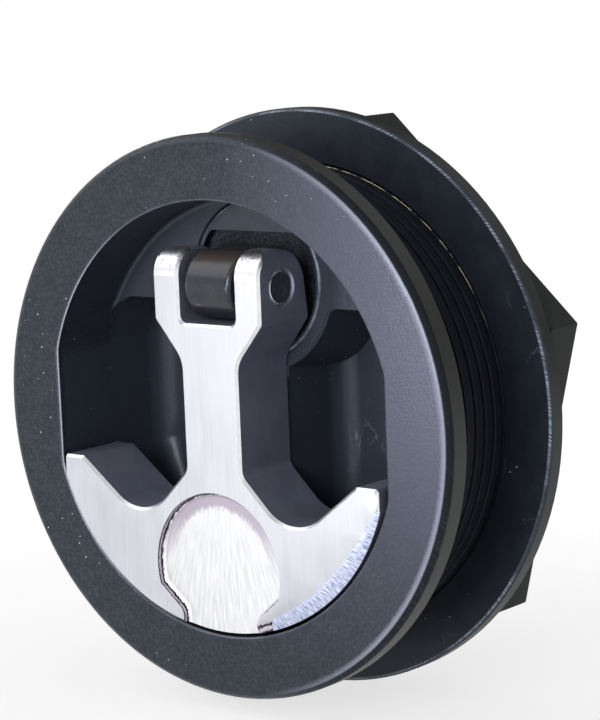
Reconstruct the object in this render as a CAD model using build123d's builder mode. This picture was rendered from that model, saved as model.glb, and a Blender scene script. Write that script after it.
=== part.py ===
"""Round flush pull for a hatch or locker lid, with a folding anchor-shaped handle.

The moulded cup goes through a round hole in the panel, its flange bears on the front, and a large
washer and hexagon ring nut clamp it from behind. The handle folds flat on a cross pin that runs
through the knuckle of a round hub in the cup.

Millimetres. +Z is up and the pull faces -Y. The origin is on the barrel's axis, at the back of
the flange. Depths are counted from the front of the flange, towards +Y. Heights are counted from
the barrel's axis, towards +Z.
"""

import os
from math import cos, radians, sin, tan

from build123d import *

os.makedirs("parts", exist_ok=True)

# How far cutting bodies run past a surface, and how near counts as the same place
overrun = 1.0
near = 0.01

# Opening of the cup: a round hole with two upright flats. Shares are of the opening's radius.
opening_radius = 36.6
opening_flat_share = 0.963
opening_corner = 6.0
opening_lip = 0.5

# Barrel and flange round the opening
cup_wall = 4.15
flange_lap = 6.75
flange_thickness = 5.2
flange_front_round = 1.9
flange_back_break = 0.4
barrel_end_margin = 1.4
barrel_end_break = 1.0

# Platform in the upper part of the cup
platform_depth = 12.5
platform_edge_share = 0.4918
platform_fillet = 0.9

# Finger wells below the platform, each side of a spine behind the stem
well_depth = 25.6
well_draft = 8.0
well_corner = 6.5
well_floor_fillet = 4.5
well_boss_corner = 2.2
spine_width = 11.4

# Back of the cup, cored out to even walls
floor_wall = 3.0
spine_core_width = 5.0
sleeve_proud = 2.0
sleeve_wall = 3.0

# Hinge pin
pin_depth = 5.1
pin_radius = 2.95
pin_clearance = 0.05
pin_end_gap = 0.35
pin_end_break = 0.4
pin_hole_break = 0.3

# Hub, which sits in a boss on the platform
hub_radius = 13.55
hub_face_drop = 0.1
hub_thickness = 4.6
hub_gap = 0.25
hub_land = 0.6
hub_edge_round = 0.6
boss_wall = 1.85
pocket_rim = 0.9
pocket_depth = 1.5
pocket_headroom = 1.8
pocket_corner = 1.5

# Knuckle of the hub, between the ears of the handle
knuckle_radius = 5.7
knuckle_width = 10.0
knuckle_edge_round = 0.9
knuckle_side_gap = 1.0
knuckle_slot_gap = 0.3

# Stub shaft of the hub, with its seal, washer and screw
stub_radius = 6.0
stub_gap = 0.15
stub_end_gap = 0.2
stub_end_break = 0.5
seal_section = 1.8
seal_gap = 0.02
seal_groove_width = 2.4
seal_groove_place = 4.0
hub_washer_radius = 10.5
hub_washer_thickness = 1.6
hub_washer_gap = 0.3
screw_radius = 2.5
screw_gap = 0.1
screw_reach = 8.0
screw_hole_spare = 1.0
screw_head_radius = 4.8
screw_head_height = 3.2
screw_head_round = 1.2
screw_socket_flats = 3.0
screw_socket_depth = 1.8

# Handle: stem and ears
handle_proud = 0.9
handle_rest_gap = 0.3
handle_edge_break = 0.45
stem_width = 12.0
head_width = 22.9
head_drop = 5.6
head_taper_drop = 12.3
head_corner_round = 1.2
head_neck_round = 5.0
ear_heel = 0.8
ear_front_round = 4.5
ear_corner_round = 2.5
ear_lean = 6.5
ear_slot_round = 1.4

# Handle: crescent, whose shares are of the opening's radius too, so that the anchor keeps its shape
crescent_gap = 0.4
crescent_rise = 0.2
crescent_back_break = 1.8
tip_gap = 1.25
tip_height = -8.3
tip_round = 0.7
valley_radius_share = 0.2227
valley_offset_share = 0.459
valley_height = -8.0
valley_inner_slope = 45.0
valley_outer_slope = 38.0
stem_foot_round = 2.4
bevel_depth = 1.3
bevel_width = 2.6
bevel_radius = 48.0
bevel_direction = -52.0

# Handle: keyhole-shaped recess in the crescent
keyhole_radius_share = 0.3634
keyhole_rise_share = 0.29
keyhole_waist_angle = 15.0
keyhole_neck_width = 16.0
keyhole_neck_rise = 3.0
keyhole_neck_round = 2.0
keyhole_depth = 1.2
keyhole_cove = 0.9

# Gasket, clamp washer and clamp nut
gasket_thickness = 1.5
gasket_inset = 1.6
gasket_gap = 0.4
clamp_grip = 18.4
washer_lap = 9.35
washer_thickness = 3.8
washer_gap = 0.35
washer_edge_break = 0.6
nut_wall = 2.55
nut_thickness = 8.2
nut_gap = 0.35
nut_bore_break = 0.8
nut_stop_angle = 16.4

# Radii and lengths that follow from the sizes
opening_flat = opening_flat_share * opening_radius
barrel_radius = opening_radius + cup_wall
flange_radius = barrel_radius + flange_lap
clamp_stack = gasket_thickness + clamp_grip + washer_thickness + nut_thickness
barrel_length = clamp_stack + barrel_end_margin
cavity_radius = opening_radius
pin_height = opening_radius - hub_radius - hub_gap - hub_land
platform_edge = platform_edge_share * opening_radius
hub_face_depth = platform_depth + hub_face_drop
hub_seat_depth = hub_face_depth + hub_thickness
boss_radius = hub_radius + hub_gap + boss_wall
stub_bore = stub_radius + stub_gap
sleeve_radius = stub_bore + sleeve_wall
cavity_depth = well_depth + floor_wall
sleeve_end_depth = cavity_depth + sleeve_proud
crescent_radius = opening_radius - crescent_gap
valley_radius = valley_radius_share * opening_radius
valley_offset = valley_offset_share * opening_radius
keyhole_radius = keyhole_radius_share * opening_radius
keyhole_height = crescent_rise - crescent_radius + keyhole_rise_share * opening_radius
keyhole_neck_height = crescent_rise - crescent_radius + keyhole_neck_rise
handle_thickness = platform_depth + handle_proud - handle_rest_gap

# Places in the frame: y of the flange's front, the pin and the handle's two faces
front_y = -flange_thickness
pin_y = front_y + pin_depth
handle_front_y = front_y - handle_proud
handle_back_y = handle_front_y + handle_thickness
ear_radius = handle_back_y - pin_y - ear_heel
pin_place = (pin_y, pin_height)


def depth(amount):
    """Plane parallel to the flange, that far behind its front, facing the user."""
    return Plane.XZ.offset(flange_thickness - amount)


# Cup body: flange, barrel and cup, moulded in one piece
with BuildSketch() as opening:
    Circle(opening_radius)
    Rectangle(2 * opening_flat, 2 * opening_radius, mode=Mode.INTERSECT)
    fillet(opening.vertices(), opening_corner)

with BuildPart() as boss_side:
    # the boss leaves a tighter corner at the platform's edge than the walls do
    with BuildSketch(depth(platform_depth)) as boss_outline:
        with Locations((0, platform_edge)):
            Rectangle(4 * opening_radius, 4 * opening_radius, align=(Align.CENTER, Align.MAX))
        with Locations((0, pin_height)):
            Circle(boss_radius, mode=Mode.SUBTRACT)
        boss_corners = boss_outline.vertices().filter_by(
            lambda v: abs(v.Y - platform_edge) < near and abs(v.X) < opening_radius
        )
        fillet(boss_corners, well_boss_corner)
    extrude(amount=platform_fillet + overrun)
    extrude(boss_outline.sketch, amount=-(well_depth - platform_depth), taper=well_draft)

with BuildPart() as wells:
    with BuildSketch(depth(platform_depth)) as well_outline:
        add(opening.sketch)
        with Locations((0, platform_edge)):
            Rectangle(
                2 * opening_radius, 2 * opening_radius, align=(Align.CENTER, Align.MAX), mode=Mode.INTERSECT
            )
        Rectangle(spine_width, 2 * opening_radius, mode=Mode.SUBTRACT)
        top_corners = well_outline.vertices().filter_by(lambda v: abs(v.Y - platform_edge) < near)
        foot_corners = well_outline.vertices().filter_by(
            lambda v: abs(abs(v.X) - spine_width / 2) < near and v.Y < 0
        )
        fillet(top_corners + foot_corners, well_corner)
    extrude(amount=platform_fillet + overrun)
    extrude(well_outline.sketch, amount=-(well_depth - platform_depth), taper=well_draft)
    fillet(wells.faces().group_by(Axis.Y)[-1].edges(), well_floor_fillet)
    add(boss_side.part, mode=Mode.INTERSECT)

with BuildPart() as cup_body:
    with BuildSketch(depth(0)):
        Circle(flange_radius)
    extrude(amount=-flange_thickness)
    fillet(cup_body.edges().group_by(Axis.Y)[0], flange_front_round)
    chamfer(cup_body.edges().group_by(Axis.Y)[-1], flange_back_break)
    with BuildSketch(Plane.XZ):
        Circle(barrel_radius)
    extrude(amount=-barrel_length)
    chamfer(cup_body.edges().group_by(Axis.Y)[-1], barrel_end_break)

    with BuildSketch(depth(0)):
        add(opening.sketch)
    extrude(amount=-platform_depth, mode=Mode.SUBTRACT)
    fillet(cup_body.faces().sort_by(Axis.Y)[0].inner_wires()[0].edges(), opening_lip)
    platform_face = cup_body.faces().filter_by(Axis.Y).filter_by(
        lambda f: abs(f.center().Y - front_y - platform_depth) < near
    )
    fillet(platform_face.edges(), platform_fillet)
    add(wells.part, mode=Mode.SUBTRACT)

    # seat and bore for the hub
    with BuildSketch(depth(platform_depth)):
        with Locations((0, pin_height)):
            Circle(hub_radius + hub_gap)
    extrude(amount=-(hub_seat_depth - platform_depth), mode=Mode.SUBTRACT)

    # the back is cored out, leaving the sleeve round the hub's shaft
    with BuildSketch(Plane.XZ.offset(-barrel_length)):
        Circle(cavity_radius)
    extrude(amount=flange_thickness + barrel_length - cavity_depth, mode=Mode.SUBTRACT)
    with BuildSketch(depth(cavity_depth)):
        Circle(cavity_radius)
        with Locations((0, platform_edge + floor_wall)):
            Rectangle(
                2 * cavity_radius, 2 * cavity_radius, align=(Align.CENTER, Align.MIN), mode=Mode.INTERSECT
            )
        with Locations((0, pin_height)):
            Circle(boss_radius, mode=Mode.SUBTRACT)
    extrude(amount=cavity_depth - platform_depth - floor_wall, mode=Mode.SUBTRACT)
    with BuildSketch(depth(cavity_depth)):
        with Locations((0, pin_height)):
            Circle(boss_radius)
            Circle(sleeve_radius, mode=Mode.SUBTRACT)
        with Locations((0, platform_edge + floor_wall)):
            Rectangle(2 * boss_radius, 2 * boss_radius, align=(Align.CENTER, Align.MIN), mode=Mode.INTERSECT)
    extrude(amount=cavity_depth - hub_seat_depth - floor_wall, mode=Mode.SUBTRACT)
    with BuildSketch(depth(cavity_depth)):
        with Locations((0, pin_height - boss_radius)):
            SlotOverall(
                2 * (pin_height - boss_radius) + opening_radius, spine_core_width, rotation=90, mode=Mode.ADD
            )
    extrude(amount=cavity_depth - platform_depth - 2 * floor_wall, mode=Mode.SUBTRACT)
    with BuildSketch(depth(cavity_depth)):
        with Locations((0, pin_height)):
            Circle(sleeve_radius)
    extrude(amount=-sleeve_proud)
    with BuildSketch(depth(hub_seat_depth)):
        with Locations((0, pin_height)):
            Circle(stub_bore)
    extrude(amount=-(sleeve_end_depth - hub_seat_depth), mode=Mode.SUBTRACT)

cup_body.part.label = "cup_body"
export_step(cup_body.part, "parts/cup_body.step")


# Flange gasket: flat rubber ring behind the flange
with BuildPart() as flange_gasket:
    with BuildSketch(Plane.XZ):
        Circle(flange_radius - gasket_inset)
        Circle(barrel_radius + gasket_gap, mode=Mode.SUBTRACT)
    extrude(amount=-gasket_thickness)

flange_gasket.part.label = "flange_gasket"
export_step(flange_gasket.part, "parts/flange_gasket.step")


# Clamp washer: large flat ring, loose on the barrel
with BuildPart() as clamp_washer:
    with BuildSketch(Plane.XZ.offset(-(gasket_thickness + clamp_grip))):
        Circle(barrel_radius + washer_lap)
        Circle(barrel_radius + washer_gap, mode=Mode.SUBTRACT)
    extrude(amount=-washer_thickness)
    outer_edges = clamp_washer.edges().filter_by(GeomType.CIRCLE).group_by(SortBy.RADIUS)[-1]
    chamfer(outer_edges, washer_edge_break)

clamp_washer.part.label = "clamp_washer"
export_step(clamp_washer.part, "parts/clamp_washer.step")


# Clamp nut: hexagon ring nut behind the washer, left at the angle where it came up tight
with BuildPart() as clamp_nut:
    with BuildSketch(Plane.XZ.offset(-(clamp_stack - nut_thickness))):
        RegularPolygon(barrel_radius + nut_wall, 6, major_radius=False, rotation=nut_stop_angle)
        Circle(barrel_radius + nut_gap, mode=Mode.SUBTRACT)
    extrude(amount=-nut_thickness)
    bore_edges = clamp_nut.edges().filter_by(GeomType.CIRCLE)
    chamfer(bore_edges, nut_bore_break)

clamp_nut.part.label = "clamp_nut"
export_step(clamp_nut.part, "parts/clamp_nut.step")


# Hub: round insert with the knuckle in front and the stub shaft behind
with BuildPart() as hub:
    with BuildSketch(depth(hub_face_depth)):
        with Locations((0, pin_height)):
            Circle(hub_radius)
    extrude(amount=-hub_thickness)
    fillet(hub.edges().group_by(Axis.Y)[0], hub_edge_round)
    with BuildSketch(depth(hub_face_depth)) as pocket:
        with Locations((0, pin_height)):
            Circle(hub_radius - pocket_rim)
        with Locations((0, pin_height + ear_radius + pocket_headroom)):
            Rectangle(2 * hub_radius, 3 * hub_radius, align=(Align.CENTER, Align.MAX), mode=Mode.INTERSECT)
        fillet(pocket.vertices(), pocket_corner)
    extrude(amount=-pocket_depth, mode=Mode.SUBTRACT)

    with BuildSketch(Plane.YZ.offset(-knuckle_width / 2)):
        with Locations(pin_place):
            Circle(knuckle_radius)
            Rectangle(
                hub_face_depth + pocket_depth + overrun - pin_depth,
                2 * knuckle_radius,
                align=(Align.MIN, Align.CENTER),
            )
    extrude(amount=knuckle_width)
    round_edges = hub.edges().filter_by(GeomType.CIRCLE).filter_by(
        lambda e: abs(e.radius - knuckle_radius) < near
    )
    fillet(round_edges, knuckle_edge_round)

    with BuildSketch(depth(hub_seat_depth)):
        with Locations((0, pin_height)):
            Circle(stub_radius)
    extrude(amount=-(sleeve_end_depth - stub_end_gap - hub_seat_depth))
    chamfer(hub.edges().group_by(Axis.Y)[-1], stub_end_break)
    with BuildSketch(depth(hub_seat_depth + seal_groove_place)):
        with Locations((0, pin_height)):
            Circle(stub_radius + overrun)
            Circle(stub_bore - seal_section, mode=Mode.SUBTRACT)
    extrude(amount=-seal_groove_width, mode=Mode.SUBTRACT)
    with BuildSketch(depth(sleeve_end_depth)):
        with Locations((0, pin_height)):
            Circle(screw_radius + screw_gap)
    extrude(amount=screw_reach + screw_hole_spare, mode=Mode.SUBTRACT)
    with BuildSketch(Plane.YZ):
        with Locations(pin_place):
            Circle(pin_radius + pin_clearance)
    extrude(amount=hub_radius, both=True, mode=Mode.SUBTRACT)

hub.part.label = "hub"
export_step(hub.part, "parts/hub.step")


# Hub seal: O-ring squeezed between the stub shaft's groove and the bore
with BuildPart() as hub_seal:
    with BuildSketch(Plane.YZ):
        with Locations((
            front_y + hub_seat_depth + seal_groove_place + seal_groove_width / 2,
            pin_height + stub_bore - seal_section / 2,
        )):
            Circle(seal_section / 2 - seal_gap)
    revolve(axis=Axis((0, 0, pin_height), (0, 1, 0)))

hub_seal.part.label = "hub_seal"
export_step(hub_seal.part, "parts/hub_seal.step")


# Hub washer: flat washer on the end of the sleeve
with BuildPart() as hub_washer:
    with BuildSketch(depth(sleeve_end_depth)):
        with Locations((0, pin_height)):
            Circle(hub_washer_radius)
            Circle(screw_radius + hub_washer_gap, mode=Mode.SUBTRACT)
    extrude(amount=-hub_washer_thickness)

hub_washer.part.label = "hub_washer"
export_step(hub_washer.part, "parts/hub_washer.step")


# Hub screw: pan head with a hexagon socket, into the end of the stub shaft
with BuildPart() as hub_screw:
    with BuildSketch(depth(sleeve_end_depth + hub_washer_thickness)):
        with Locations((0, pin_height)):
            Circle(screw_head_radius)
    extrude(amount=-screw_head_height)
    fillet(hub_screw.edges().group_by(Axis.Y)[-1], screw_head_round)
    with BuildSketch(depth(sleeve_end_depth + hub_washer_thickness + screw_head_height)):
        with Locations((0, pin_height)):
            RegularPolygon(screw_socket_flats / 2, 6, major_radius=False)
    extrude(amount=screw_socket_depth, mode=Mode.SUBTRACT)
    with BuildSketch(depth(sleeve_end_depth + hub_washer_thickness)):
        with Locations((0, pin_height)):
            Circle(screw_radius)
    extrude(amount=screw_reach)

hub_screw.part.label = "hub_screw"
export_step(hub_screw.part, "parts/hub_screw.step")


# Hinge pin: plain pin through both ears and the knuckle
pin_length = head_width - 2 * pin_end_gap
with BuildPart() as hinge_pin:
    with BuildSketch(Plane.YZ.offset(-pin_length / 2)):
        with Locations(pin_place):
            Circle(pin_radius)
    extrude(amount=pin_length)
    chamfer(hinge_pin.edges().filter_by(GeomType.CIRCLE), pin_end_break)

hinge_pin.part.label = "hinge_pin"
export_step(hinge_pin.part, "parts/hinge_pin.step")


# Handle: one solid casting, an anchor with two ears at the top
ear_top = pin_height + ear_radius
valley_inner = (
    valley_offset - valley_radius * sin(radians(valley_inner_slope)),
    valley_height - valley_radius * cos(radians(valley_inner_slope)),
)
valley_outer = (
    valley_offset + valley_radius * sin(radians(valley_outer_slope)),
    valley_height - valley_radius * cos(radians(valley_outer_slope)),
)
valley_floor = (valley_offset, valley_height - valley_radius)
stem_foot = (
    stem_width / 2,
    valley_inner[1] + (valley_inner[0] - stem_width / 2) * tan(radians(valley_inner_slope)),
)
tip_inner = (
    valley_outer[0] + (tip_height - valley_outer[1]) / tan(radians(valley_outer_slope)),
    tip_height,
)
tip_outer = ((crescent_radius**2 - (tip_height - crescent_rise) ** 2) ** 0.5, tip_height)
tip_reach = opening_flat - tip_gap
crescent_bottom = (0, crescent_rise - crescent_radius)

with BuildPart() as bevel_waste:
    # the lower right of the crescent is ground off to a flatter arc, which runs out at the tip
    bevel_shift = bevel_radius - (crescent_radius - bevel_width)
    bevel_centre = (
        -bevel_shift * cos(radians(bevel_direction)),
        -bevel_shift * sin(radians(bevel_direction)),
    )
    bevel_plane = Plane.XZ.offset(-handle_front_y)
    with BuildSketch(bevel_plane.offset(-bevel_depth)):
        Circle(3 * crescent_radius)
    extrude(amount=bevel_depth + overrun)
    with BuildSketch(bevel_plane) as inner_edge:
        with Locations(bevel_centre):
            Circle(bevel_radius)
    extrude(amount=overrun, mode=Mode.SUBTRACT)
    with BuildSketch(bevel_plane.offset(-bevel_depth)) as outer_edge:
        with Locations(bevel_centre):
            Circle(bevel_radius + bevel_width)
    loft([inner_edge.sketch, outer_edge.sketch], mode=Mode.SUBTRACT)

with BuildPart() as keyhole_waste:
    # keyhole-shaped recess, open through the bottom edge, with a coved floor
    with BuildSketch(Plane.XZ.offset(overrun - handle_front_y)) as keyhole:
        with BuildLine():
            waist = radians(keyhole_waist_angle)
            waist_point = (keyhole_radius * cos(waist), keyhole_height - keyhole_radius * sin(waist))
            ThreePointArc(
                (-waist_point[0], waist_point[1]), (0, keyhole_height + keyhole_radius), waist_point
            )
            Polyline(
                waist_point,
                (keyhole_neck_width / 2, keyhole_neck_height),
                (keyhole_neck_width / 2, -2 * crescent_radius),
                (-keyhole_neck_width / 2, -2 * crescent_radius),
                (-keyhole_neck_width / 2, keyhole_neck_height),
                (-waist_point[0], waist_point[1]),
            )
        make_face()
        neck_corners = keyhole.vertices().filter_by(lambda v: abs(v.Y - keyhole_neck_height) < near)
        fillet(neck_corners, keyhole_neck_round)
    extrude(amount=-(keyhole_depth + overrun))
    fillet(keyhole_waste.faces().sort_by(Axis.Y)[-1].edges(), keyhole_cove)

with BuildPart() as handle:
    with BuildSketch(Plane.XZ.offset(-handle_front_y)) as outline:
        with BuildLine():
            Polyline(
                (0, ear_top),
                (head_width / 2, ear_top),
                (head_width / 2, pin_height - head_drop),
                (stem_width / 2, pin_height - head_taper_drop),
                stem_foot,
                valley_inner,
            )
            ThreePointArc(valley_inner, valley_floor, valley_outer)
            Polyline(valley_outer, tip_inner, tip_outer)
            RadiusArc(tip_outer, crescent_bottom, crescent_radius)
            Line(crescent_bottom, (0, ear_top))
        make_face()
        mirror(about=Plane.YZ)
        Rectangle(2 * tip_reach, 4 * opening_radius, mode=Mode.INTERSECT)

        def corners(x, z):
            """The outline's two corners at that distance from the centre line."""
            return outline.vertices().filter_by(lambda v: abs(abs(v.X) - x) < near and abs(v.Y - z) < near)

        fillet(corners(head_width / 2, pin_height - head_drop), head_corner_round)
        fillet(corners(stem_width / 2, pin_height - head_taper_drop), head_neck_round)
        fillet(corners(*stem_foot), stem_foot_round)
        fillet(outline.vertices().filter_by(lambda v: abs(v.Y - tip_height) < near), tip_round)
        ear_slot = knuckle_width + 2 * knuckle_side_gap
        slot_bottom = pin_height - knuckle_radius - knuckle_slot_gap
        with Locations((0, slot_bottom)):
            Rectangle(ear_slot, 2 * ear_top, align=(Align.CENTER, Align.MIN), mode=Mode.SUBTRACT)
        fillet(corners(ear_slot / 2, slot_bottom), ear_slot_round)
    extrude(amount=-handle_thickness)

    # side view: rounded ears, whose back edge leans out to the back face
    with BuildSketch(Plane.YZ):
        with BuildLine():
            lean = radians(ear_lean)
            back_start = (pin_y + ear_radius * cos(lean), pin_height + ear_radius * sin(lean))
            heel = back_start[1] - (handle_back_y - back_start[0]) / tan(lean)
            middle = radians(45 + ear_lean / 2)
            Line((handle_front_y, -2 * crescent_radius), (handle_front_y, ear_top - ear_front_round))
            RadiusArc(
                (handle_front_y, ear_top - ear_front_round),
                (handle_front_y + ear_front_round, ear_top),
                ear_front_round,
            )
            Line((handle_front_y + ear_front_round, ear_top), (pin_y, ear_top))
            ThreePointArc(
                (pin_y, ear_top),
                (pin_y + ear_radius * cos(middle), pin_height + ear_radius * sin(middle)),
                back_start,
            )
            Polyline(
                back_start,
                (handle_back_y, heel),
                (handle_back_y, -2 * crescent_radius),
                (handle_front_y, -2 * crescent_radius),
            )
        make_face()
    extrude(amount=head_width + 2 * crescent_radius, both=True, mode=Mode.INTERSECT)
    chamfer(handle.faces().sort_by(Axis.Y)[0].edges(), handle_edge_break)
    with BuildSketch(Plane.XZ) as head_outline:
        Rectangle(head_width, 2 * ear_top)
        fillet(head_outline.vertices().filter_by(lambda v: v.Y > 0), ear_corner_round)
        Rectangle(4 * opening_radius, 2 * opening_radius, align=(Align.CENTER, Align.MAX))
    extrude(amount=handle_thickness, both=True, mode=Mode.INTERSECT)
    back_edges = handle.faces().sort_by(Axis.Y)[-1].edges().filter_by(GeomType.CIRCLE)
    chamfer(back_edges.filter_by(lambda e: abs(e.radius - crescent_radius) < near), crescent_back_break)
    add(bevel_waste.part, mode=Mode.SUBTRACT)

    add(keyhole_waste.part, mode=Mode.SUBTRACT)

    with BuildSketch(Plane.YZ):
        with Locations(pin_place):
            Circle(pin_radius + pin_clearance)
    extrude(amount=head_width, both=True, mode=Mode.SUBTRACT)
    hole_rims = handle.edges().filter_by(GeomType.CIRCLE).filter_by(
        lambda e: abs(e.radius - pin_radius - pin_clearance) < near
    )
    chamfer([hole_rims.sort_by(Axis.X)[0], hole_rims.sort_by(Axis.X)[-1]], pin_hole_break)

handle.part.label = "handle"
export_step(handle.part, "parts/handle.step")
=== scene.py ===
"""Round flush pull with a folding anchor-shaped handle, set up for the photograph's view."""

from math import atan2, hypot, pi, radians
from types import SimpleNamespace

import bmesh
import bpy
from mathutils import Matrix, Vector


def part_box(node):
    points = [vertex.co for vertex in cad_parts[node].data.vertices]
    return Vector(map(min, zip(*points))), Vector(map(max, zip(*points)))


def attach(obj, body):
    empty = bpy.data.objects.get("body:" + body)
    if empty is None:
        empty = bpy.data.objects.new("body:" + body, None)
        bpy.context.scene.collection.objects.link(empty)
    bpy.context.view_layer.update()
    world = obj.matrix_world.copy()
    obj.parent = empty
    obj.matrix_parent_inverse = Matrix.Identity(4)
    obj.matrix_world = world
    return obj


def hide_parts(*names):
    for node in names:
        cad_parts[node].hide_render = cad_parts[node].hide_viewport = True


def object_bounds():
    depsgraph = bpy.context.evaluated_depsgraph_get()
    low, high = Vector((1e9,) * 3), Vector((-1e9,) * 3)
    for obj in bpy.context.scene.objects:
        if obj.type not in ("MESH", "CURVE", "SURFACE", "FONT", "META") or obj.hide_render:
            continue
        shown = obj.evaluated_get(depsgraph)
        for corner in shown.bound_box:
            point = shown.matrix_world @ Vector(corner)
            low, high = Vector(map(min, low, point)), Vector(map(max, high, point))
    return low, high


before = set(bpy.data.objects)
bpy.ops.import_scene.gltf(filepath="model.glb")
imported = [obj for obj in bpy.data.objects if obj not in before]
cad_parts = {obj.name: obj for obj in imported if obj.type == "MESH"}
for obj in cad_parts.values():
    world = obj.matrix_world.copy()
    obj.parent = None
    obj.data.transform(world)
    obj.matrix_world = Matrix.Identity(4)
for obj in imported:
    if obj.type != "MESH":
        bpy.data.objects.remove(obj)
cad_box = [list(corner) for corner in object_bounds()]
scene = bpy.context.scene

# The view: a long lens from the right of the front and a little above, as the photograph has it.
# The pull stands upright in its own frame, so the camera takes the photograph's slight tilt.
camera_place = (0.2773, -0.3270, 0.0740)
camera_round = 38.78
camera_down = 8.62
camera_tilt = 2.30
camera = bpy.data.objects.new("camera", bpy.data.cameras.new("camera"))
camera.data.lens = 130
camera.data.clip_end = 20
camera.matrix_world = (
    Matrix.Translation(camera_place)
    @ Matrix.Rotation(radians(camera_round), 4, "Z")
    @ Matrix.Rotation(radians(90 - camera_down), 4, "X")
    @ Matrix.Rotation(radians(-camera_tilt), 4, "Z")
)
scene.collection.objects.link(camera)
scene.camera = camera


# Studio: a white floor that fades into a white surround, and three soft lamps: a large one high on the
# left, one in front, and a small near one whose reflection gives the flange its sheen. Two screens of
# black felt, which the camera doesn't see, keep the sides of the black mouldings dark.
def colour(code):
    """Linear RGBA of an sRGB hex colour."""
    parts = [int(code[i : i + 2], 16) / 255 for i in (1, 3, 5)]
    return [c / 12.92 if c < 0.04045 else ((c + 0.055) / 1.055) ** 2.4 for c in parts] + [1.0]


def node(tree, kind, values=()):
    """Adds a node. Each value sets one of its inputs or properties, or is a socket to link to an input."""
    made = tree.nodes.new(kind)
    for name, value in dict(values).items():
        if isinstance(value, bpy.types.NodeSocket):
            tree.links.new(value, made.inputs[name])
        elif isinstance(name, int) or name in made.inputs:
            made.inputs[name].default_value = value
        else:
            setattr(made, name, value)
    return made


def product(tree, *values):
    """All the values multiplied, each a number or a socket."""
    result = values[0]
    for value in values[1:]:
        result = node(tree, "ShaderNodeMath", {"operation": "MULTIPLY", 0: result, 1: value}).outputs[0]
    return result


def largest(tree, *values):
    """The largest of the values, each a number or a socket."""
    result = values[0]
    for value in values[1:]:
        result = node(tree, "ShaderNodeMath", {"operation": "MAXIMUM", 0: result, 1: value}).outputs[0]
    return result


def fade(tree, value, start, end, least=0.0, most=1.0):
    """Goes from least to most while the value goes from start to end, and stays level past both."""
    made = node(
        tree,
        "ShaderNodeMapRange",
        {"From Min": start, "From Max": end, "To Min": least, "To Max": most, "Value": value},
    )
    return made.outputs[0]


def seen_as_backdrop(tree):
    """1 for the camera's rays and for mirrored or refracted ones, 0 for those that carry light."""
    ray = node(tree, "ShaderNodeLightPath").outputs
    return largest(tree, ray["Is Camera Ray"], ray["Is Glossy Ray"], ray["Is Transmission Ray"])


def stage_piece(name, form, material):
    """Makes an object of the stage from a bmesh."""
    mesh = bpy.data.meshes.new(name)
    form.to_mesh(mesh)
    form.free()
    mesh.materials.append(material)
    piece = bpy.data.objects.new(name, mesh)
    scene.collection.objects.link(piece)
    return piece


white = colour("#ffffff")

# White paper keeps the pull's shadow near it, and past fade_end nothing tells it from the surround.
fade_start = 0.05
fade_end = 0.16
near_whiteness = 0.7
floor_radius = 1.5
paper = bpy.data.materials.new("white_paper")
paper.use_nodes = True
paper_tree = paper.node_tree
paper_shader = paper_tree.nodes["Principled BSDF"]
paper_shader.inputs["Base Color"].default_value = colour("#f2f2f2")
paper_shader.inputs["Roughness"].default_value = 0.9
paper_place = node(paper_tree, "ShaderNodeTexCoord").outputs["Object"]
paper_distance = node(paper_tree, "ShaderNodeVectorMath", {"operation": "LENGTH", 0: paper_place})
paper_fade = fade(paper_tree, paper_distance.outputs["Value"], fade_start, fade_end, near_whiteness)
paper_white = node(paper_tree, "ShaderNodeEmission", {"Color": white, "Strength": 1.0})
paper_mix = node(
    paper_tree,
    "ShaderNodeMixShader",
    {
        0: product(paper_tree, paper_fade, seen_as_backdrop(paper_tree)),
        1: paper_shader.outputs[0],
        2: paper_white.outputs[0],
    },
)
paper_tree.links.new(paper_mix.outputs[0], paper_tree.nodes["Material Output"].inputs["Surface"])
floor_form = bmesh.new()
bmesh.ops.create_circle(floor_form, cap_ends=True, segments=64, radius=floor_radius)
bmesh.ops.translate(floor_form, verts=floor_form.verts, vec=(0, 0, cad_box[0][2]))
stage_piece("floor", floor_form, paper)

felt = bpy.data.materials.new("black_felt")
felt.use_nodes = True
felt_shader = felt.node_tree.nodes["Principled BSDF"]
felt_shader.inputs["Base Color"].default_value = colour("#1a1a1c")
felt_shader.inputs["Roughness"].default_value = 1.0
screen_half_width = 0.3
for screen_name, screen_turn, screen_place in (
    ("dark_screen_right", -38, (0.60, 0.62, 0.28)),
    ("dark_screen_back", 35, (-0.46, 0.78, 0.50)),
):
    screen_form = bmesh.new()
    bmesh.ops.create_grid(screen_form, x_segments=1, y_segments=1, size=screen_half_width)
    upright = Matrix.Rotation(radians(screen_turn), 3, "Z") @ Matrix.Rotation(radians(90), 3, "X")
    bmesh.ops.rotate(screen_form, verts=screen_form.verts, matrix=upright)
    bmesh.ops.translate(screen_form, verts=screen_form.verts, vec=screen_place)
    screen = stage_piece(screen_name, screen_form, felt)
    screen.visible_camera = False

# The surround gives a plain fill light. Mirrored, it is white near the horizon and greyer overhead.
fill_strength = 0.5
overhead_strength = 0.42
world = bpy.data.worlds.new("studio")
scene.world = world
world.use_nodes = True
sky = world.node_tree
sky.nodes.clear()
fill_light = node(sky, "ShaderNodeBackground", {"Color": white, "Strength": fill_strength})
sky_direction = node(sky, "ShaderNodeTexCoord").outputs["Generated"]
sky_height = node(sky, "ShaderNodeSeparateXYZ", {0: sky_direction}).outputs[2]
sky_strength = fade(sky, sky_height, 0.05, 0.7, 1.0, overhead_strength)
white_surround = node(sky, "ShaderNodeBackground", {"Color": white, "Strength": sky_strength})
surround = node(
    sky,
    "ShaderNodeMixShader",
    {0: seen_as_backdrop(sky), 1: fill_light.outputs[0], 2: white_surround.outputs[0]},
)
node(sky, "ShaderNodeOutputWorld", {"Surface": surround.outputs[0]})


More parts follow.
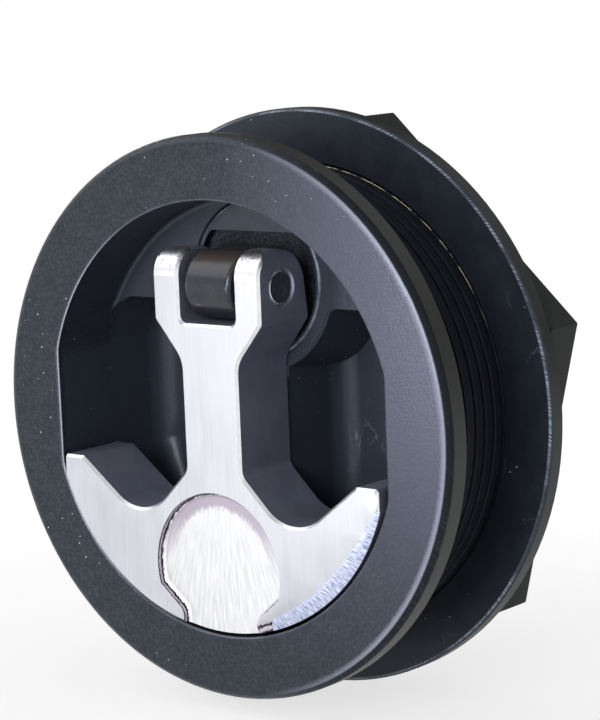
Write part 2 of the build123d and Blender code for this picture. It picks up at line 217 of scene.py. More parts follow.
def soft_lamp(name, watts, size, place, aim=(0, 0, 0)):
    """A rectangular area lamp, aimed at a point."""
    lamp = bpy.data.objects.new(name, bpy.data.lights.new(name, "AREA"))
    lamp.data.energy = watts
    lamp.data.shape = "RECTANGLE"
    lamp.data.size, lamp.data.size_y = size
    lamp.location = place
    lamp.rotation_euler = (lamp.location - Vector(aim)).to_track_quat("Z", "Y").to_euler()
    scene.collection.objects.link(lamp)


soft_lamp("key_lamp", 5.5, (1.2, 1.0), (-0.85, -0.50, 0.95))
soft_lamp("sheen_lamp", 0.26, (0.05, 0.07), (-0.125, -0.33, -0.012), (0.03, 0, 0))
soft_lamp("front_lamp", 11.0, (0.6, 0.6), (0.20, -1.15, 0.35))


# Cup: flange, cup and barrel, one moulding in glass-filled nylon with a fine matt grain. Fingers have
# rubbed the lip of the opening smooth. Its sizes here and below are the CAD model's, in millimetres.
mm = 0.001
flange_front = -5.2
flange_back = 0.0
opening_reach = 36.6
platform_front = 7.3
platform_foot = 18.0
boss_reach = 15.65
well_floor = 20.4
hub_height = 22.2
barrel_reach = 40.75
thread_height = 0.8
thread_root = barrel_reach - thread_height


def merged(name):
    """A copy of the node's triangles as one bmesh with shared corners."""
    form = bmesh.new()
    form.from_mesh(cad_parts[name].data)
    bmesh.ops.remove_doubles(form, verts=form.verts, dist=0.002 * mm)
    return form


def publish(form, name, body, finishes, replaced=()):
    """Makes a piece from a bmesh: smooth, with crisp edges, riding on its body."""
    crisp_angle = radians(28)
    for edge in form.edges:
        edge.smooth = len(edge.link_faces) == 2 and edge.calc_face_angle() < crisp_angle
    for face in form.faces:
        face.smooth = True
    mesh = bpy.data.meshes.new(name)
    form.to_mesh(mesh)
    form.free()
    for finish in finishes:
        mesh.materials.append(finish.material)
    piece = bpy.data.objects.new(name, mesh)
    scene.collection.objects.link(piece)
    weighted = piece.modifiers.new("weighted_normals", "WEIGHTED_NORMAL")
    weighted.keep_sharp = True
    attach(piece, body)
    if replaced:
        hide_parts(*replaced)


def new_finish(name, metallic=0.0):
    """A new material, with its tree, its shader, and the place of a point in millimetres."""
    material = bpy.data.materials.new(name)
    material.use_nodes = True
    tree = material.node_tree
    shader = tree.nodes["Principled BSDF"]
    shader.inputs["Metallic"].default_value = metallic
    metres = node(tree, "ShaderNodeTexCoord").outputs["Object"]
    scaled = node(tree, "ShaderNodeVectorMath", {"operation": "SCALE", 0: metres, "Scale": 1 / mm})
    place = scaled.outputs[0]
    x, y, z = node(tree, "ShaderNodeSeparateXYZ", {0: place}).outputs
    return SimpleNamespace(material=material, tree=tree, shader=shader, place=place, x=x, y=y, z=z)


def reach_from(tree, place, height=0.0):
    """Distance from the line along Y at that height, which is the barrel's axis at 0."""
    moved = node(tree, "ShaderNodeVectorMath", {"operation": "SUBTRACT", 0: place, 1: (0, 0, height)})
    flat = node(tree, "ShaderNodeVectorMath", {"operation": "MULTIPLY", 0: moved.outputs[0], 1: (1, 0, 1)})
    return node(tree, "ShaderNodeVectorMath", {"operation": "LENGTH", 0: flat.outputs[0]}).outputs["Value"]


def along_circle(tree, across, height, radius):
    """Distance along a circle of that radius, in the plane of the two coordinates."""
    angle = node(tree, "ShaderNodeMath", {"operation": "ARCTAN2", 0: height, 1: across})
    return product(tree, angle.outputs[0], radius)


def total(tree, *values):
    """All the values added up, each a number or a socket."""
    result = values[0]
    for value in values[1:]:
        result = node(tree, "ShaderNodeMath", {"operation": "ADD", 0: result, 1: value}).outputs[0]
    return result


def stripe(tree, value, middle, outer, inner):
    """1 where the value lies within inner of the middle, fading to 0 at outer."""
    away = node(tree, "ShaderNodeMath", {"operation": "SUBTRACT", 0: value, 1: middle})
    distance = node(tree, "ShaderNodeMath", {"operation": "ABSOLUTE", 0: away.outputs[0]})
    return fade(tree, distance.outputs[0], outer, inner)


def clouds(tree, place, size, detail=2.0):
    """Uneven tone with spots of that size in millimetres, or of three sizes along X, Y and Z."""
    sizes = size if isinstance(size, tuple) else (size, size, size)
    shrink = tuple(1 / length for length in sizes)
    scaled = node(tree, "ShaderNodeVectorMath", {"operation": "MULTIPLY", 0: place, 1: shrink})
    made = node(tree, "ShaderNodeTexNoise", {"Scale": 1.0, "Detail": detail, "Vector": scaled.outputs[0]})
    return made.outputs[0]


def blend(tree, share, first, second):
    """Goes from the first colour to the second, each a hex code or a socket."""
    first, second = (colour(tone) if isinstance(tone, str) else tone for tone in (first, second))
    return node(tree, "ShaderNodeMix", {"data_type": "RGBA", 0: share, 6: first, 7: second}).outputs[2]


def dress(finish, tone, roughness, *bumps):
    """Links a finish's tone and roughness, and its bumps, each a height and its depth in millimetres."""
    finish.tree.links.new(tone, finish.shader.inputs["Base Color"])
    finish.tree.links.new(roughness, finish.shader.inputs["Roughness"])
    below = finish.shader.inputs["Normal"]
    for height, depth in reversed(bumps):
        values = {"Strength": 1.0, "Distance": depth * mm, "Height": height}
        made = node(finish.tree, "ShaderNodeBump", values)
        finish.tree.links.new(made.outputs[0], below)
        below = made.inputs["Normal"]


def hairlines(tree, place, size, width):
    """1 on thin winding lines, as of scratches, and 0 between them."""
    return stripe(tree, clouds(tree, place, size, 3.0), 0.5, width, width / 3)


def specks(tree, place, spacing, share):
    """1 on stray specks 0.2 mm across, scattered in loose clusters."""
    outer_radius = 0.13
    inner_radius = 0.08
    cluster_size = 16.0
    scaled = node(tree, "ShaderNodeVectorMath", {"operation": "SCALE", 0: place, "Scale": 1 / spacing})
    cells = node(tree, "ShaderNodeTexVoronoi", {"Scale": 1.0, "Vector": scaled.outputs[0]}).outputs
    pick = node(tree, "ShaderNodeSeparateColor", {0: cells["Color"]}).outputs[0]
    clusters = product(tree, fade(tree, clouds(tree, place, cluster_size), 0.5, 0.66), share)
    chosen = node(tree, "ShaderNodeMath", {"operation": "LESS_THAN", 0: pick, 1: clusters}).outputs[0]
    dot = fade(tree, cells["Distance"], outer_radius / spacing, inner_radius / spacing)
    return product(tree, chosen, dot)


def moulded_nylon(name, dark, light, roughness, grain_depth, gloss, speck_share=0.0):
    """Matt moulded nylon: mottled, grained, and with white dust. The real grain is finer than this,
    which is drawn so that it shows."""
    mottle_size = 3.0
    grain_size = 0.42
    speck_spacing = 1.3
    finish = new_finish(name)
    tree = finish.tree
    finish.shader.inputs["Specular IOR Level"].default_value = gloss
    finish.shader.inputs["Specular Tint"].default_value = colour("#e2eeff")
    mottle = clouds(tree, finish.place, mottle_size, 5.0)
    grain = clouds(tree, finish.place, grain_size, 3.0)
    dust = specks(tree, finish.place, speck_spacing, speck_share)
    tone = blend(tree, fade(tree, mottle, 0.35, 0.65), dark, light)
    grained = blend(tree, fade(tree, grain, 0.4, 0.7, 0.0, 8.0 * grain_depth), tone, "#4a4f58")
    dress(
        finish,
        blend(tree, dust, grained, "#c8ccd0"),
        total(tree, fade(tree, mottle, 0.3, 0.7, roughness - 0.03, roughness + 0.04), dust),
        (mottle, 0.01),
        (grain, grain_depth),
    )
    return finish


def paint_over(finish, share, code, roughness):
    """Lays another tone and roughness over a finish, as much as the share says."""
    tree = finish.tree
    tone = finish.shader.inputs["Base Color"]
    tree.links.new(blend(tree, share, tone.links[0].from_socket, code), tone)
    rough = finish.shader.inputs["Roughness"]
    mixed = node(
        tree, "ShaderNodeMix", {"data_type": "FLOAT", 0: share, 2: rough.links[0].from_socket, 3: roughness}
    )
    tree.links.new(mixed.outputs[0], rough)


# The grain breaks up the sheen of the flange's face, which is painted paler toward the right, a
# painted sheen.
cup_nylon = moulded_nylon(
    "moulded_nylon_charcoal",
    "#171b21",
    "#1b1f25",
    roughness=0.31,
    grain_depth=0.035,
    gloss=0.33,
    speck_share=1.2,
)
cup_tree = cup_nylon.tree
cup_reach = reach_from(cup_tree, cup_nylon.place)
painted_sheen = product(
    cup_tree,
    fade(cup_tree, cup_nylon.x, 2.0, 44.0),
    fade(cup_tree, cup_nylon.y, flange_front + 0.35, flange_front + 0.2),
    fade(cup_tree, cup_nylon.z, -40.0, 4.0),
)
paint_over(cup_nylon, painted_sheen, "#4c4d5c", 0.29)

# The edge of the flange's face is painted pale toward the right, a painted highlight. Then comes its
# dark round, painted darker toward the right, a painted dark reflection, with slanted strokes below,
# and the flange's side, painted paler and browner, a painted warm light.
rim_reach = 46.8
rim_unevenness = 0.7
rim_speck_size = 0.22
stroke_width = 0.35
stroke_length = 2.4
stroke_slope = 0.8
rim_specks = clouds(cup_tree, cup_nylon.place, rim_speck_size)
highlight_reach = total(cup_tree, cup_reach, product(cup_tree, rim_specks, rim_unevenness))
painted_rim_highlight = product(
    cup_tree,
    stripe(cup_tree, highlight_reach, rim_reach, 0.75, 0.05),
    fade(cup_tree, cup_nylon.y, flange_front + 0.4, flange_front + 0.3),
    fade(cup_tree, cup_nylon.x, 8.0, 32.0, 0.0, 0.62),
)
paint_over(cup_nylon, painted_rim_highlight, "#9a9eb0", 0.25)
# The round is painted darker toward the right, a painted dark reflection.
painted_dark_reflection = product(
    cup_tree,
    fade(cup_tree, cup_reach, rim_reach - 0.12, rim_reach + 0.02),
    fade(cup_tree, cup_nylon.x, 8.0, 26.0),
)
paint_over(cup_nylon, product(cup_tree, painted_dark_reflection, 0.95), "#07090c", 0.8)
round_flange = along_circle(cup_tree, cup_nylon.x, cup_nylon.z, 47.0)
slanted = total(cup_tree, round_flange, product(cup_tree, cup_nylon.y, stroke_slope))
stroke_place = node(cup_tree, "ShaderNodeCombineXYZ", {0: slanted, 1: cup_nylon.y}).outputs[0]
stroke_clouds = clouds(cup_tree, stroke_place, (stroke_width, stroke_length, 1.0))
strokes = product(
    cup_tree,
    fade(cup_tree, stroke_clouds, 0.5, 0.66, 0.0, 0.3),
    fade(cup_tree, cup_nylon.z, 8.0, -12.0),
)
paint_over(cup_nylon, product(cup_tree, painted_dark_reflection, strokes), "#3c4250", 0.5)
# The flange's side is painted paler and browner, a painted warm light.
flange_side_warm_light = product(
    cup_tree,
    fade(cup_tree, cup_reach, rim_reach - 0.2, rim_reach),
    fade(cup_tree, cup_nylon.y, flange_front + 1.45, flange_front + 1.6),
)
paint_over(cup_nylon, flange_side_warm_light, "#2e2f2b", 0.45)

# Inside the opening the nylon is smoother and painted paler, a painted fill light. The platform's edge
# has a painted highlight, and fingernails have scratched the right well.
inside = product(
    cup_tree,
    fade(cup_tree, cup_reach, opening_reach + 0.2, opening_reach - 0.4),
    fade(cup_tree, cup_nylon.y, flange_front + 0.6, flange_front + 1.7),
    fade(cup_tree, cup_nylon.y, well_floor + 0.6, well_floor + 0.2),
)
# The inside of the opening is painted paler, a painted fill light.
paint_over(cup_nylon, product(cup_tree, inside, 0.8), "#30353e", 0.25)
hub_reach = reach_from(cup_tree, cup_nylon.place, hub_height)
platform_rim = largest(
    cup_tree,
    fade(cup_tree, hub_reach, boss_reach + 1.85, boss_reach + 1.45),
    stripe(cup_tree, cup_nylon.z, platform_foot - 0.1, 1.2, 0.8),
)
# A painted highlight along the platform's edge.
painted_platform_highlight = product(
    cup_tree,
    stripe(cup_tree, cup_nylon.y, platform_front + 0.35, 0.25, 0.1),
    platform_rim,
    inside,
    0.6,
)
paint_over(cup_nylon, painted_platform_highlight, "#8a909e", 0.25)
nail_scratches = product(
    cup_tree,
    inside,
    fade(cup_tree, cup_nylon.x, 8.0, 12.0),
    fade(cup_tree, cup_nylon.y, 9.0, 12.0),
    fade(cup_tree, cup_nylon.z, 2.0, -3.0),
    fade(cup_tree, clouds(cup_tree, cup_nylon.place, 7.0), 0.5, 0.62),
    hairlines(cup_tree, cup_nylon.place, (3.0, 5.0, 9.0), 0.014),
)
paint_over(cup_nylon, nail_scratches, "#5a606c", 0.25)

# The lip is rubbed smooth and glossy, and a thin bright line is painted along it, strongest on the
# left, a painted highlight.
lip_nylon = moulded_nylon(
    "moulded_nylon_rubbed_edge_and_highlight", "#2c3038", "#3a3e47", roughness=0.24, grain_depth=0.004, gloss=0.6
)
painted_lip_highlight = product(
    lip_nylon.tree,
    stripe(lip_nylon.tree, lip_nylon.y, flange_front + 0.22, 0.13, 0.05),
    fade(lip_nylon.tree, lip_nylon.x, -18.0, -30.0, 0.15, 1.0),
)
paint_over(lip_nylon, painted_lip_highlight, "#a4aab6", 0.2)

# The barrel is turned down to the root of its thread, whose ridge is the next piece.
cup_form = merged("cup_body")
spare = 0.1
barrel_spare = 0.35
for vert in cup_form.verts:
    reach = hypot(vert.co.x, vert.co.z) / mm
    if vert.co.y / mm > flange_back - spare and thread_root < reach < barrel_reach + barrel_spare:
        vert.co.x *= thread_root / reach
        vert.co.z *= thread_root / reach
lip = 1
level = 0.02
lip_depth = 0.48
lip_spare = 0.9
for face in cup_form.faces:
    middle = face.calc_center_median() / mm
    depth = middle.y - flange_front
    if level < depth < lip_depth and hypot(middle.x, middle.z) < opening_reach + lip_spare:
        face.material_index = lip
publish(cup_form, "cup_moulding", "cup", (cup_nylon, lip_nylon), ("cup_body",))


# Thread of the barrel: a right-handed trapezoid thread, moulded with the cup, with broad flat crests.
# Its ridge runs out at both ends. The broken edges of its crests are painted a little paler, a painted
# highlight, and on top of one turn near the washer they have a painted warm highlight.
# The nylon is dull here, so the gaps between the crests show as soft dark lines.
thread_nylon = moulded_nylon(
    "moulded_nylon_thread", "#12151b", "#171b21", roughness=0.42, grain_depth=0.008, gloss=0.16
)
thread_edge_nylon = moulded_nylon(
    "moulded_nylon_thread_edge_highlight", "#14171c", "#1f2328", roughness=0.42, grain_depth=0.008, gloss=0.18
)
thread_edge_tree = thread_edge_nylon.tree
warm_highlight_start = 18.0
warm_highlight_end = 20.5
# A painted warm highlight on top of the turn next to the washer.
painted_warm_highlight = product(
    thread_edge_tree,
    fade(thread_edge_tree, thread_edge_nylon.y, warm_highlight_start - 0.1, warm_highlight_start + 0.1),
    fade(thread_edge_tree, thread_edge_nylon.y, warm_highlight_end + 0.1, warm_highlight_end - 0.1),
    fade(thread_edge_tree, thread_edge_nylon.z, 14.0, 22.0),
    fade(thread_edge_tree, clouds(thread_edge_tree, thread_edge_nylon.place, (2.0, 9.0, 2.0)), 0.42, 0.56),
)
paint_over(thread_edge_nylon, painted_warm_highlight, "#b3a588", 0.25)

thread_pitch = 2.6
thread_turns = 11
turn_steps = 96
thread_start = 31.5
root_sink = 0.3
root_half_width = 1.12
crest_half_width = 0.86
crest_break = 0.1
run_out = radians(50)
least_height = 0.05
ridge_profile = (
    (-root_half_width, -root_sink),
    (-root_half_width, 0.0),
    (-crest_half_width - crest_break, thread_height - crest_break),
    (-crest_half_width, thread_height),
    (crest_half_width, thread_height),
    (crest_half_width + crest_break, thread_height - crest_break),
    (root_half_width, 0.0),
    (root_half_width, -root_sink),
)
ridge_form = bmesh.new()
ridge_ring = [
    ridge_form.verts.new(((thread_root + height) * mm, (thread_start + along) * mm, 0))
    for along, height in ridge_profile
]
ridge_face = ridge_form.faces.new(ridge_ring)
bmesh.ops.spin(
    ridge_form,
    geom=[ridge_face, *ridge_ring, *ridge_face.edges],
    cent=(0, 0, 0),
    axis=(0, -1, 0),
    dvec=(0, -thread_pitch / turn_steps * mm, 0),
    angle=2 * pi * thread_turns,
    steps=thread_turns * turn_steps,
)
for vert in ridge_form.verts:
    reach = hypot(vert.co.x, vert.co.z) / mm
    travelled = (thread_start - vert.co.y / mm) / thread_pitch * 2 * pi
    turned = atan2(vert.co.z, vert.co.x) % (2 * pi)
    turned += 2 * pi * round((travelled - turned) / (2 * pi))
    to_end = min(turned, 2 * pi * thread_turns - turned)
    height_share = max(min(1.0, to_end / run_out), least_height)
    sunk_root = thread_root - root_sink
    sunk = sunk_root + (reach - sunk_root) * height_share
    vert.co.x *= sunk / reach
    vert.co.z *= sunk / reach
bmesh.ops.recalc_face_normals(ridge_form, faces=ridge_form.faces)
# The crests' broken edges take the paler finish, a painted highlight.
highlit_edge = 1
for face in ridge_form.faces:
    middle = face.calc_center_median() / mm
    height = hypot(middle.x, middle.z) - thread_root
    if thread_height - crest_break < height < thread_height - 0.4 * crest_break:
        face.material_index = highlit_edge
publish(ridge_form, "barrel_thread", "cup", (thread_nylon, thread_edge_nylon))


# Flange gasket: a flat ring punched from black rubber sheet, pressed between flange and panel. The
# punch leaves streaks across its edge, and the rubber stays dull.
rubber = new_finish("punched_sheet_rubber")
punch_streaks = clouds(rubber.tree, rubber.place, (0.6, 3.0, 0.6))
dress(
    rubber,
    blend(rubber.tree, fade(rubber.tree, punch_streaks, 0.4, 0.65), "#17171a", "#26272a"),
    fade(rubber.tree, punch_streaks, 0.35, 0.65, 0.56, 0.68),
    (punch_streaks, 0.04),
    (clouds(rubber.tree, rubber.place, 0.2), 0.01),
)
gasket_form = merged("flange_gasket")
publish(gasket_form, "gasket_ring", "cup", (rubber,), ("flange_gasket",))


# Clamp washer: a broad nylon ring, moulded, that the nut presses on the back of the panel. Its face is
# smoother than the cup and lightly scratched. Its broken edge is rough from trimming.
washer_nylon = moulded_nylon(
    "moulded_nylon_washer",
    "#161a21",
    "#191d24",
    roughness=0.36,
    grain_depth=0.006,
    gloss=0.4,
    speck_share=0.6,
)
washer_tree = washer_nylon.tree
washer_scratches = product(
    washer_tree,
    hairlines(washer_tree, washer_nylon.place, 9.0, 0.006),
    fade(washer_tree, clouds(washer_tree, washer_nylon.place, 6.0), 0.56, 0.66),
)
paint_over(washer_nylon, washer_scratches, "#3c434f", 0.3)

# The trimming knife has left short slanted strokes, painted bright so that they show as a broken
# bright line, a painted highlight.
trimmed_reach = 49.66
knife_stroke_width = 0.3
trimmed_nylon = moulded_nylon(
    "moulded_nylon_trimmed_edge_and_highlight", "#1b1f26", "#262a33", roughness=0.4, grain_depth=0.0, gloss=0.4
)
trimmed_tree = trimmed_nylon.tree
knife_slant = total(
    trimmed_tree, along_circle(trimmed_tree, trimmed_nylon.x, trimmed_nylon.z, 50.0), trimmed_nylon.y
)
knife_place = node(trimmed_tree, "ShaderNodeCombineXYZ", {0: knife_slant}).outputs[0]
knife_strokes_and_highlight = product(
    trimmed_tree,
    fade(trimmed_tree, clouds(trimmed_tree, knife_place, knife_stroke_width), 0.42, 0.6),
    fade(trimmed_tree, clouds(trimmed_tree, trimmed_nylon.place, 7.0), 0.38, 0.6, 0.1, 1.0),
    stripe(trimmed_tree, reach_from(trimmed_tree, trimmed_nylon.place), trimmed_reach, 0.24, 0.08),
)
paint_over(trimmed_nylon, knife_strokes_and_highlight, "#9aa2b4", 0.3)

# Its side is painted a little paler and browner, a painted warm light.
washer_side_warm_light = moulded_nylon(
    "moulded_nylon_washer_side_warm_light", "#222321", "#292a28", roughness=0.45, grain_depth=0.006, gloss=0.3
)

trimmed, side = 1, 2
washer_middle = 21.5
washer_side_reach = 49.0
washer_form = merged("clamp_washer")
for face in washer_form.faces:
    middle = face.calc_center_median() / mm
    if 0.2 < abs(face.normal.y) < 0.95 and middle.y < washer_middle:
        face.material_index = trimmed
    elif abs(face.normal.y) < 0.95 and hypot(middle.x, middle.z) > washer_side_reach:
        face.material_index = side
publish(
    washer_form,
    "washer_ring",
    "washer",
    (washer_nylon, trimmed_nylon, washer_side_warm_light),
    ("clamp_washer",),
)


# Clamp nut: a moulded nylon hexagon ring that runs on the barrel's thread. It is duller and a little
# browner than the washer, and its outer corners are barely broken.
nut_nylon = moulded_nylon(
    "moulded_nylon_nut", "#20211f", "#272826", roughness=0.5, grain_depth=0.012, gloss=0.12, speck_share=0.05
)
nut_break = 0.3
nut_bore_reach = 43.0
corner_angle = radians(40)
nut_form = merged("clamp_nut")
nut_corners = [
    edge
    for edge in nut_form.edges
    if len(edge.link_faces) == 2
    and edge.calc_face_angle() > corner_angle
    and min(hypot(vert.co.x, vert.co.z) for vert in edge.verts) > nut_bore_reach * mm
]
bmesh.ops.bevel(
    nut_form, geom=nut_corners, offset=nut_break * mm, segments=2, affect="EDGES", profile=0.5, material=-1
)
publish(nut_form, "hexagon_ring_nut", "nut", (nut_nylon,), ("clamp_nut",))


# Hub: a round nylon insert, moulded, that sits in the cup's boss. It has a shallow pocket and the
# knuckle that carries the pin. Its face is smoother than the cup, and its rim is scuffed pale.
hub_nylon = moulded_nylon(
    "moulded_nylon_hub", "#20242c", "#2a2e36", roughness=0.3, grain_depth=0.01, gloss=0.5, speck_share=0.2
)

# The pocket is painted a deep black, a painted shade, and flaky near its top.
pocket_shade_nylon = moulded_nylon(
    "moulded_nylon_pocket_painted_shade", "#0a0b0e", "#101216", roughness=0.5, grain_depth=0.05, gloss=0.2
)
pocket_tree = pocket_shade_nylon.tree
pocket_flakes = product(
    pocket_tree,
    fade(pocket_tree, clouds(pocket_tree, pocket_shade_nylon.place, (2.2, 2.2, 1.1), 4.0), 0.46, 0.62),
    fade(pocket_tree, pocket_shade_nylon.z, 28.6, 30.6),
)
paint_over(pocket_shade_nylon, pocket_flakes, "#1c2027", 0.4)

# The knuckle is glossy, with a painted brown sheen on top.
knuckle_nylon = moulded_nylon(
    "moulded_nylon_knuckle", "#16181b", "#201f1f", roughness=0.24, grain_depth=0.012, gloss=0.55
)
painted_knuckle_sheen = fade(knuckle_nylon.tree, knuckle_nylon.z, 24.0, 26.5, 0.0, 0.6)
paint_over(knuckle_nylon, painted_knuckle_sheen, "#4a403c", 0.34)
hub_rim_nylon = moulded_nylon(
    "moulded_nylon_hub_rim", "#3a3f48", "#757b88", roughness=0.28, grain_depth=0.03, gloss=0.5
)

pocket, knuckle, scuffed_rim = 1, 2, 3
hub_face = 7.4
rim_depth = 0.7
pocket_floor = 8.9
pocket_reach = 12.8
knuckle_half_width = 5.2
hub_form = merged("hub")
for face in hub_form.faces:
    middle = face.calc_center_median() / mm
    reach = hypot(middle.x, middle.z - hub_height)
    if middle.y < hub_face - 2 * spare and abs(middle.x) < knuckle_half_width:
        face.material_index = knuckle
    elif hub_face + level < middle.y < pocket_floor + spare / 2 and reach < pocket_reach:
        face.material_index = pocket
    elif hub_face + level < middle.y < hub_face + rim_depth and reach > pocket_reach + spare:
        face.material_index = scuffed_rim
publish(
    hub_form,
    "hub_insert",
    "cup",
    (hub_nylon, pocket_shade_nylon, knuckle_nylon, hub_rim_nylon),
    ("hub",),
)


# Hub seal, washer and screw: a rubber ring on the hub's stub shaft, and the stainless fastening that
# draws the hub in from behind. Turning has left fine rings on the steel, drawn coarse enough to show.
ring_spacing = 0.12
steel = new_finish("stainless_turned", metallic=1.0)
ring_place = node(steel.tree, "ShaderNodeCombineXYZ", {0: reach_from(steel.tree, steel.place, hub_height)})
turned_rings = clouds(steel.tree, ring_place.outputs[0], ring_spacing)
dress(
    steel,
    blend(steel.tree, fade(steel.tree, turned_rings, 0.35, 0.65), "#acaeb3", "#c6c8cb"),
    fade(steel.tree, turned_rings, 0.3, 0.7, 0.22, 0.42),
    (turned_rings, 0.004),
)
for name, finish in (("hub_seal", rubber), ("hub_washer", steel), ("hub_screw", steel)):
    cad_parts[name].data.materials.clear()
    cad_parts[name].data.materials.append(finish.material)


# Hinge pin: a plain steel pin, darkened, pushed through both ears and the knuckle. The broken edges of
# its ends are painted bright in patches, partly wear from handling and partly a painted highlight.
pin_steel = new_finish("steel_pin_darkened", metallic=0.5)
pin_wear = clouds(pin_steel.tree, pin_steel.place, 0.9, 3.0)
dress(
    pin_steel,
    blend(pin_steel.tree, fade(pin_steel.tree, pin_wear, 0.4, 0.7), "#404249", "#595b62"),
    fade(pin_steel.tree, pin_wear, 0.35, 0.65, 0.36, 0.46),
    (pin_wear, 0.02),
)
pin_edge_steel = new_finish("steel_pin_rubbed_edge_and_highlight", metallic=0.4)
pin_edge_bright_patches = clouds(pin_edge_steel.tree, pin_edge_steel.place, 1.6)
pin_edge_grain = clouds(pin_edge_steel.tree, pin_edge_steel.place, 0.4)
dress(
    pin_edge_steel,
    blend(pin_edge_steel.tree, fade(pin_edge_steel.tree, pin_edge_bright_patches, 0.42, 0.56), "#3c3e44", "#f4f4f6"),
    fade(pin_edge_steel.tree, pin_edge_grain, 0.35, 0.65, 0.27, 0.34),
    (pin_edge_grain, 0.02),
)
# The chamfered ends take the bright patches, partly wear and partly a painted highlight.
rubbed_and_highlit = 1
pin_form = merged("hinge_pin")
for face in pin_form.faces:
    if 0.2 < abs(face.normal.x) < 0.95:
        face.material_index = rubbed_and_highlit
publish(pin_form, "cross_pin", "cup", (pin_steel, pin_edge_steel), ("hinge_pin",))


# Handle: a solid casting that turns on the pin, linished on its face, polished along its edges and
# left as cast on its sides. The crescent's lower right is ground off, and the recess is milled.

# The linishing belt ran up and down, so the bright face has fine upright streaks.
face_metal = new_finish("linished_cast_metal", metallic=1.0)
face_tree = face_metal.tree
belt_streaks = clouds(face_tree, face_metal.place, (0.12, 4.0, 7.0), 3.0)
belt_patches = clouds(face_tree, face_metal.place, (4.0, 4.0, 9.0), 3.0)
dress(
    face_metal,
    blend(face_tree, fade(face_tree, belt_streaks, 0.3, 0.7), "#bbbdc4", "#c5c6cc"),
    total(
        face_tree,
        fade(face_tree, belt_streaks, 0.3, 0.7, 0.34, 0.40),
        fade(face_tree, belt_patches, 0.35, 0.65, 0.0, 0.08),
    ),
    (belt_streaks, 0.0012),
)

# Polished edges are brighter still, with dark nicks on top of the ears.
edge_metal = new_finish("polished_cast_edge", metallic=1.0)
edge_tree = edge_metal.tree
edge_waves = clouds(edge_tree, edge_metal.place, 1.2, 3.0)
edge_bright = blend(edge_tree, fade(edge_tree, edge_waves, 0.35, 0.65), "#dfe0e3", "#e8e9ec")
edge_nicks = product(
    edge_tree,
    fade(edge_tree, clouds(edge_tree, edge_metal.place, (0.5, 0.8, 0.9), 4.0), 0.56, 0.66),
    fade(edge_tree, edge_metal.z, 25.0, 27.0),
)
dress(
    edge_metal,
    blend(edge_tree, edge_nicks, edge_bright, "#3b3844"),
    fade(edge_tree, edge_nicks, 0.0, 1.0, 0.34, 0.45),
    (edge_waves, 0.02),
    (fade(edge_tree, edge_nicks, 0.0, 1.0, 1.0, 0.0), 0.03),
)

# The sides are greyer and darker, with faint lines that run round them, parallel to the face.
side_metal = new_finish("cast_metal_side", metallic=0.76)
side_tree = side_metal.tree
cast_clouds = clouds(side_tree, side_metal.place, 5.0, 3.0)
side_lines = clouds(side_tree, side_metal.place, (5.0, 0.25, 5.0), 3.0)
dress(
    side_metal,
    blend(side_tree, fade(side_tree, cast_clouds, 0.35, 0.65), "#9296aa", "#9ea2b4"),
    fade(side_tree, side_lines, 0.35, 0.65, 0.32, 0.44),
    (cast_clouds, 0.012),
    (side_lines, 0.003),
)


def radial_strokes(finish, height, radius, width, length):
    """Tool marks that point away from the line along Y at that height, and are true at that radius."""
    down = node(finish.tree, "ShaderNodeMath", {"operation": "SUBTRACT", 0: height, 1: finish.z}).outputs[0]
    fanned = node(
        finish.tree,
        "ShaderNodeCombineXYZ",
        {
            0: along_circle(finish.tree, down, finish.x, radius),
            1: reach_from(finish.tree, finish.place, height),
        },
    )
    return clouds(finish.tree, fanned.outputs[0], (width, length, 1.0), 3.0)


# A coarse wheel has ground the bevel, so its strokes are deep and glitter blue and white.
bevel_metal = new_finish("ground_bevel_metal", metallic=1.0)
bevel_tree = bevel_metal.tree
wheel_strokes = radial_strokes(bevel_metal, height=0.0, radius=35.0, width=0.16, length=1.3)
dress(
    bevel_metal,
    blend(bevel_tree, fade(bevel_tree, wheel_strokes, 0.4, 0.6), "#929cbe", "#dde2f4"),
    fade(bevel_tree, wheel_strokes, 0.35, 0.65, 0.46, 0.54),
    (wheel_strokes, 0.06),
)

# The recess's floor is bright, with soft upright tool marks, and it is painted purple-grey at its top,
# next to the wall, a painted shade.
recess_height = -25.2
milled_metal = new_finish("milled_recess_metal", metallic=1.0)
milled_tree = milled_metal.tree
mill_strokes = radial_strokes(milled_metal, height=6.0, radius=40.0, width=0.45, length=5.0)
comb = clouds(milled_tree, milled_metal.place, (0.35, 1.0, 1.3), 3.0)
combed_reach = total(
    milled_tree,
    reach_from(milled_tree, milled_metal.place, recess_height),
    fade(milled_tree, comb, 0.3, 0.7, -0.5, 0.5),
)
# The top of the floor, next to the wall, is painted purple-grey, a painted shade.
painted_cove_shade = product(
    milled_tree,
    fade(milled_tree, combed_reach, 10.0, 10.9),
    fade(milled_tree, milled_metal.z, -25.0, -17.0),
)
milled_bright = blend(milled_tree, fade(milled_tree, mill_strokes, 0.35, 0.65), "#cacbce", "#dbdbdd")
dress(
    milled_metal,
    blend(milled_tree, painted_cove_shade, milled_bright, "#a8a0ae"),
    fade(milled_tree, mill_strokes, 0.35, 0.65, 0.38, 0.46),
    (mill_strokes, 0.012),
)
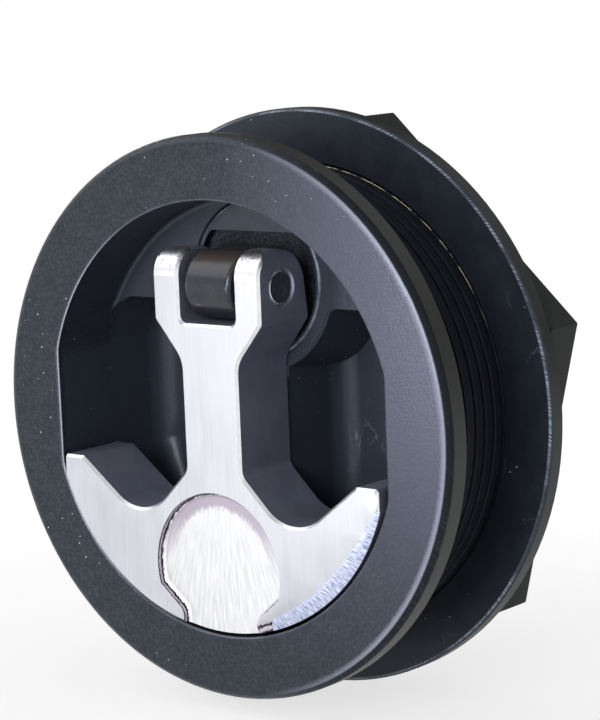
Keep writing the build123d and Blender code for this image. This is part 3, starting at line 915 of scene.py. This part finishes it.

# Round the recess runs a coved wall, painted purple-grey, a painted shade, with two wavering dark
# lines painted round it, a painted dark reflection.
upper_line = -5.85
lower_line = -5.25
wall_metal = new_finish("recess_wall_metal", metallic=0.9)
wall_tree = wall_metal.tree
wall_scale = clouds(wall_tree, wall_metal.place, 0.6, 4.0)
wall_depth = total(wall_tree, wall_metal.y, fade(wall_tree, wall_scale, 0.3, 0.7, -0.12, 0.12))
# Two dark lines painted round the wall, a painted dark reflection.
painted_dark_lines = largest(
    wall_tree,
    stripe(wall_tree, wall_depth, upper_line, 0.16, 0.08),
    stripe(wall_tree, wall_depth, lower_line, 0.2, 0.1),
)
wall_shaded_tone = blend(wall_tree, fade(wall_tree, wall_scale, 0.4, 0.6), "#b4aebb", "#d8d4dc")
dress(
    wall_metal,
    blend(wall_tree, painted_dark_lines, wall_shaded_tone, "#352c3c"),
    fade(wall_tree, wall_scale, 0.35, 0.65, 0.36, 0.45),
    (wall_scale, 0.02),
)

linished, polished, cast, ground, milled, coved = range(6)
handle_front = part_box("handle")[0][1] / mm
recess_depth = 1.2
bevel_depth = 1.3
edge_depth = 0.5
recess_reach = 13.4
neck_half_width = 8.4
neck_top = -30.0
ear_top = 24.0
ear_back = 1.0
handle_form = merged("handle")
for face in handle_form.faces:
    middle = face.calc_center_median() / mm
    depth = middle.y - handle_front
    frontal = -face.normal.y
    in_round = hypot(middle.x, middle.z - recess_height) < recess_reach
    in_neck = abs(middle.x) < neck_half_width and middle.z < neck_top
    recessed = (in_round or in_neck) and level < depth < recess_depth + spare
    if frontal > 0.999 and depth < level:
        face.material_index = linished
    elif recessed and frontal > 0.9:
        face.material_index = milled
    elif recessed and frontal > -0.2:
        face.material_index = coved
    elif depth < bevel_depth + spare and 0.8 < frontal < 0.999 and middle.z < 0 and middle.x > 0:
        face.material_index = ground
    elif depth < edge_depth + spare and frontal > 0.3:
        face.material_index = polished
    elif middle.z > ear_top and middle.y < ear_back and face.normal.z > 0.05 and frontal > 0.05:
        face.material_index = polished
    else:
        face.material_index = cast
publish(
    handle_form,
    "anchor_handle",
    "handle",
    (face_metal, edge_metal, side_metal, bevel_metal, milled_metal, wall_metal),
    ("handle",),
)

scene.view_settings.view_transform = "Standard"
